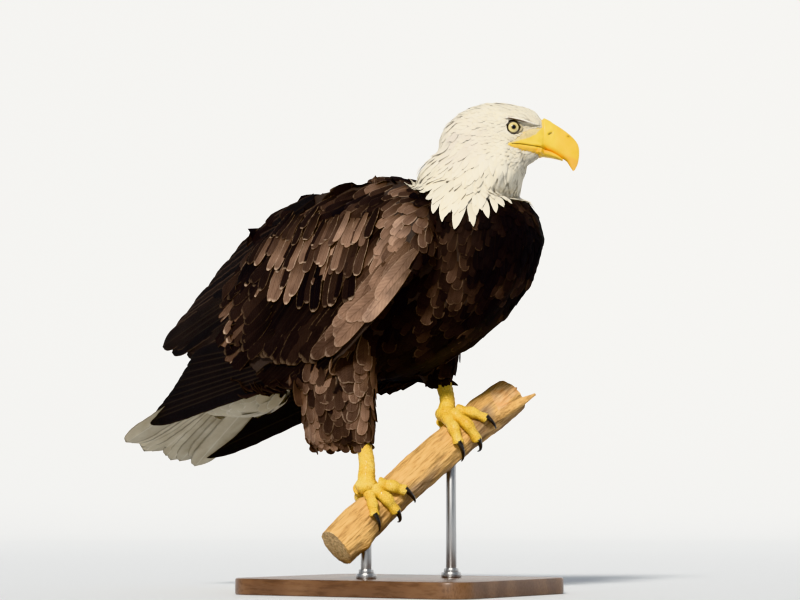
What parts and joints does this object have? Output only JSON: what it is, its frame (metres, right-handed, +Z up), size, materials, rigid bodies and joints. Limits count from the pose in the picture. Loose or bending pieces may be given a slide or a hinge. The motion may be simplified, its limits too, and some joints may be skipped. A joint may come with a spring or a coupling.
{
  "type": "bird",
  "caption": "Life-size bald eagle in adult plumage, leaning forward with its head turned and wings folded, gripping a cut length of branch on a display stand.",
  "frame": {"origin": "middle of the underside of the stand's base", "axes": "+X is the bird's forward, +Y is the bird's left, +Z is up"},
  "size_m": [0.6171, 0.2805, 0.602],
  "materials": {
    "white_plumage": "soft matte feathers",
    "brown_plumage": "soft matte feathers",
    "flight_feathers": "satin vanes",
    "tail_feathers": "satin vanes",
    "scaled_skin": "scaly satin",
    "claw_horn": "polished horn",
    "bill_horn": "polished horn",
    "eye": "clear gloss",
    "branch": "rough bark",
    "stand_wood": "satin",
    "stand_steel": "brushed"
  },
  "bodies": {
    "root": {"head": "white_plumage", "neck": "white_plumage", "trunk": "brown_plumage", "tail": "tail_feathers", "tail_coverts": "tail_feathers", "wing_right": "brown_plumage", "wing_left": "brown_plumage", "primaries_right": "flight_feathers", "primaries_left": "flight_feathers", "thigh_right": "brown_plumage", "thigh_left": "brown_plumage", "tarsus_right": "scaled_skin", "tarsus_left": "scaled_skin", "toe_1_right": "scaled_skin", "toe_2_right": "scaled_skin", "toe_3_right": "scaled_skin", "toe_4_right": "scaled_skin", "toe_1_left": "scaled_skin", "toe_2_left": "scaled_skin", "toe_3_left": "scaled_skin", "toe_4_left": "scaled_skin", "claw_1_right": "claw_horn", "claw_2_right": "claw_horn", "claw_3_right": "claw_horn", "claw_4_right": "claw_horn", "claw_1_left": "claw_horn", "claw_2_left": "claw_horn", "claw_3_left": "claw_horn", "claw_4_left": "claw_horn", "bill_upper": "bill_horn", "bill_lower": "bill_horn", "eye_right": "eye", "eye_left": "eye", "perch": "branch", "stand_base": "stand_wood", "stand_rod_low": "stand_steel", "stand_rod_high": "stand_steel"}
  },
  "joints": []
}
